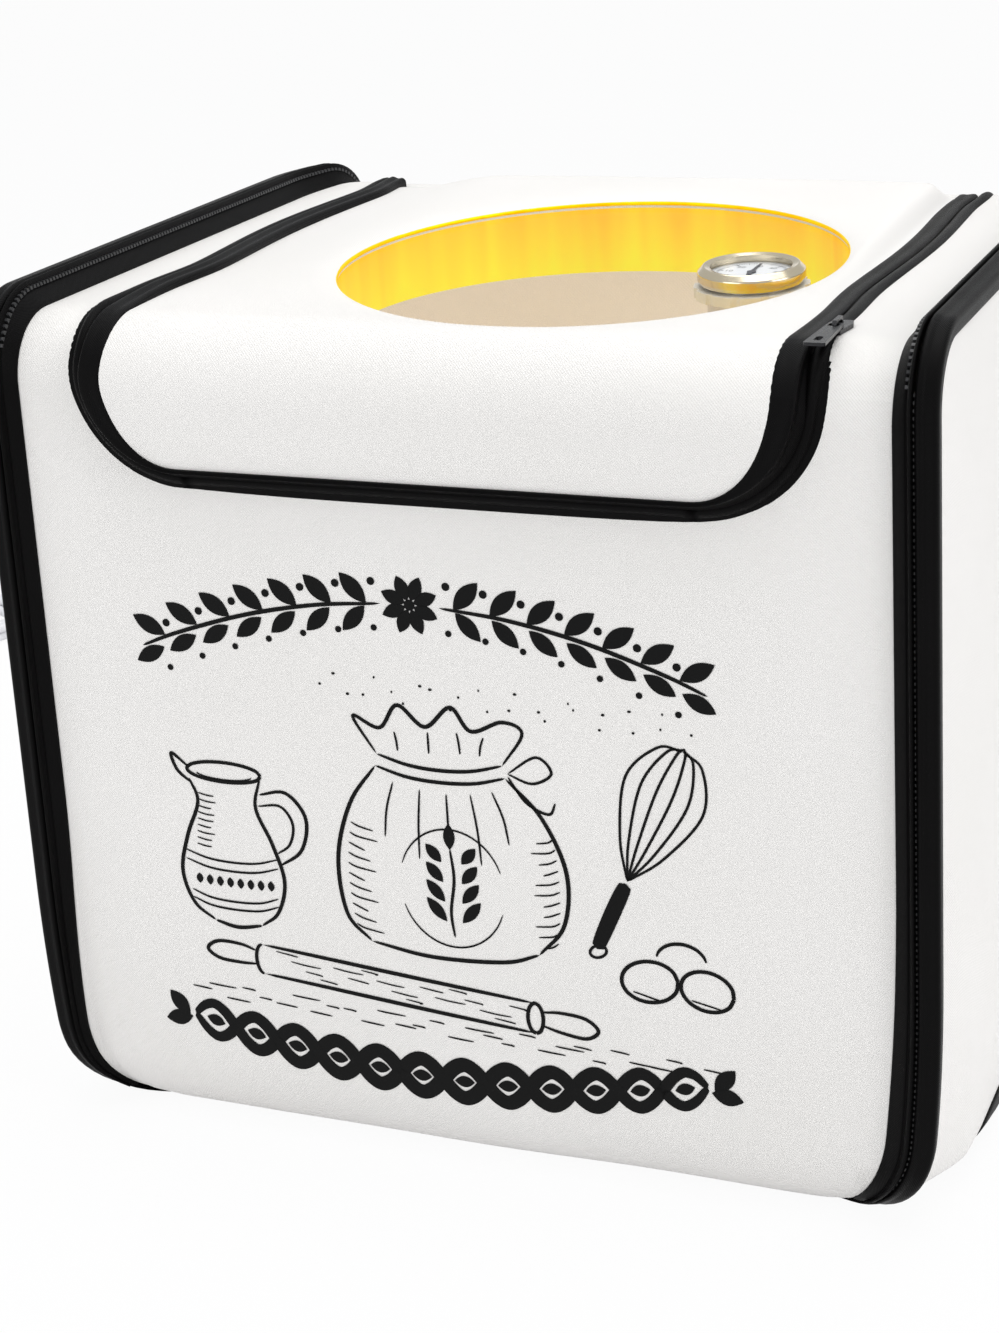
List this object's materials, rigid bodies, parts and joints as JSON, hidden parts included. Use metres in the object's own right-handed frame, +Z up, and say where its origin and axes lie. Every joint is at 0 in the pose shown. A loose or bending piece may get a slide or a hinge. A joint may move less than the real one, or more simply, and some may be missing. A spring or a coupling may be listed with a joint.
{
  "type": "folding dough proofer",
  "caption": "Collapsible insulated fabric box with a zip lid, a round clear window, a dial thermometer, a heating mat and a mains lead with a controller.",
  "frame": {"origin": "middle of the box's footprint, on the surface that it stands on; the free lead with its controller and plug isn't counted", "axes": "+Z up, front (zip apron) towards -Y, +X to the right seen from the front"},
  "size_m": [0.8052, 0.5629, 0.35],
  "materials": {
    "cover_fabric": "matte coated fabric, warm white",
    "lid_fabric": "matte coated fabric, near white",
    "lining_fabric": "matte, cream",
    "foam": "closed-cell foam, matte",
    "zip_band": "gloss black woven band",
    "zip_tape": "gloss black zip tape",
    "binding_fabric": "gloss black binding",
    "clear_film": "gloss, clear",
    "gold_foil": "gloss gold foil",
    "steel": "satin",
    "bezel_metal": "polished",
    "dial_face": "satin white",
    "lens_glass": "gloss",
    "needle_paint": "satin black",
    "nut_plastic": "matte black",
    "slider_metal": "gloss black",
    "mat_silicone": "satin grey",
    "lead_rubber": "satin, light grey",
    "moulded_plastic": "satin, light grey",
    "display": "gloss dark",
    "button_plastic": "satin grey",
    "brass": "satin"
  },
  "bodies": {
    "base": {"base_cover": "cover_fabric", "base_foam": "foam", "base_lining": "lining_fabric", "heating_mat": "mat_silicone", "strain_relief": "lead_rubber", "cord_near": "lead_rubber", "cord_far": "lead_rubber", "cord_coil": "lead_rubber", "plug_body": "moulded_plastic", "plug_blades": "brass", "controller_base": "moulded_plastic", "controller_cover": "moulded_plastic", "controller_window": "display"},
    "front_wall": {"front_cover": "cover_fabric", "front_foam": "foam", "front_lining": "lining_fabric", "front_side_bands": "zip_band", "front_zip_tape": "zip_tape"},
    "back_wall": {"back_cover": "cover_fabric", "back_foam": "foam", "back_lining": "lining_fabric", "back_side_bands": "zip_band"},
    "top": {"top_cover": "lid_fabric", "top_foam": "foam", "top_lining": "lining_fabric", "top_side_bands": "zip_band", "top_zip_tape": "zip_tape"},
    "lid": {"lid_cover": "lid_fabric", "lid_foam": "foam", "lid_lining": "lining_fabric", "lid_zip_tape": "zip_tape", "window_film": "clear_film", "window_reveal": "gold_foil", "thermometer_cup": "steel", "thermometer_bezel": "bezel_metal", "thermometer_dial": "dial_face", "thermometer_lens": "lens_glass", "thermometer_spiral": "steel", "thermometer_nut": "nut_plastic"},
    "apron": {"apron_cover": "cover_fabric", "apron_foam": "foam", "apron_lining": "lining_fabric", "apron_zip_tape": "zip_tape"},
    "left_panel": {"left_panel_binding": "binding_fabric", "left_panel_cover": "cover_fabric", "left_panel_foam": "foam", "left_panel_lining": "lining_fabric"},
    "right_panel": {"right_panel_binding": "binding_fabric", "right_panel_cover": "cover_fabric", "right_panel_foam": "foam", "right_panel_lining": "lining_fabric"},
    "needle": {"thermometer_needle": "needle_paint"},
    "lid_slider": {"lid_slider": "slider_metal"},
    "left_slider": {"left_slider": "slider_metal"},
    "right_slider": {"right_slider": "slider_metal"},
    "lid_slider_pull": {"lid_slider_pull": "slider_metal"},
    "left_slider_pull": {"left_slider_pull": "slider_metal"},
    "right_slider_pull": {"right_slider_pull": "slider_metal"},
    "power_button": {"power_button": "button_plastic"},
    "level_button": {"level_button": "button_plastic"}
  },
  "joints": [
    {"name": "collapse", "type": "hinge", "parent": "base", "child": "back_wall", "pos_m": [0, 0.14, 0.03], "axis": [1, 0, 0], "range_deg": [0, 90]},
    {"name": "front_wall_fold", "type": "hinge", "parent": "base", "child": "front_wall", "pos_m": [0, -0.156, 0], "axis": [1, 0, 0], "range_deg": [0, 90]},
    {"name": "top_fold", "type": "hinge", "parent": "back_wall", "child": "top", "pos_m": [0, 0.156, 0.341], "axis": [1, 0, 0], "range_deg": [-90, 0]},
    {"name": "lid_hinge", "type": "hinge", "parent": "top", "child": "lid", "pos_m": [0, 0.13, 0.345], "axis": [-1, 0, 0], "range_deg": [0, 165]},
    {"name": "apron_fold", "type": "hinge", "parent": "lid", "child": "apron", "pos_m": [0, -0.14, 0.311], "axis": [1, 0, 0], "range_deg": [0, 90]},
    {"name": "left_panel_hinge", "type": "hinge", "parent": "base", "child": "left_panel", "pos_m": [-0.19, 0, 0], "axis": [0, -1, 0], "range_deg": [0, 90]},
    {"name": "right_panel_hinge", "type": "hinge", "parent": "base", "child": "right_panel", "pos_m": [0.19, 0, 0], "axis": [0, 1, 0], "range_deg": [0, 90]},
    {"name": "needle_turn", "type": "hinge", "parent": "lid", "child": "needle", "pos_m": [0.09303, -0.05177, 0.34227], "axis": [0, -0.035, 0.9994], "range_deg": [-120, 120]},
    {"name": "lid_slider_travel", "type": "slide", "parent": "top", "child": "lid_slider", "axis": [0, 1, 0], "range_m": [0, 0.23]},
    {"name": "left_slider_travel", "type": "slide", "parent": "back_wall", "child": "left_slider", "axis": [0, 0, 1], "range_m": [0, 0.2]},
    {"name": "right_slider_travel", "type": "slide", "parent": "back_wall", "child": "right_slider", "axis": [0, 0, 1], "range_m": [0, 0.2]},
    {"name": "lid_pull_swing", "type": "hinge", "parent": "lid_slider", "child": "lid_slider_pull", "pos_m": [0.1468, -0.1276, 0.34485], "axis": [-1, 0, 0], "range_deg": [0, 120]},
    {"name": "left_pull_swing", "type": "hinge", "parent": "left_slider", "child": "left_slider_pull", "pos_m": [-0.1762, 0.16265, 0.0764], "axis": [1, 0, 0], "range_deg": [0, 120]},
    {"name": "right_pull_swing", "type": "hinge", "parent": "right_slider", "child": "right_slider_pull", "pos_m": [0.1762, 0.16265, 0.0764], "axis": [1, 0, 0], "range_deg": [0, 120]},
    {"name": "power_button_press", "type": "slide", "parent": "base", "child": "power_button", "axis": [0, 0, -1], "range_m": [0, 0.0008], "stiffness_N_per_m": 1500},
    {"name": "level_button_press", "type": "slide", "parent": "base", "child": "level_button", "axis": [0, 0, -1], "range_m": [0, 0.0008], "stiffness_N_per_m": 1500}
  ],
  "couplings": [
    {"joint": "front_wall_fold", "follows": "collapse", "ratio": 1},
    {"joint": "top_fold", "follows": "collapse", "ratio": -1},
    {"joint": "apron_fold", "follows": "collapse", "ratio": 1}
  ]
}
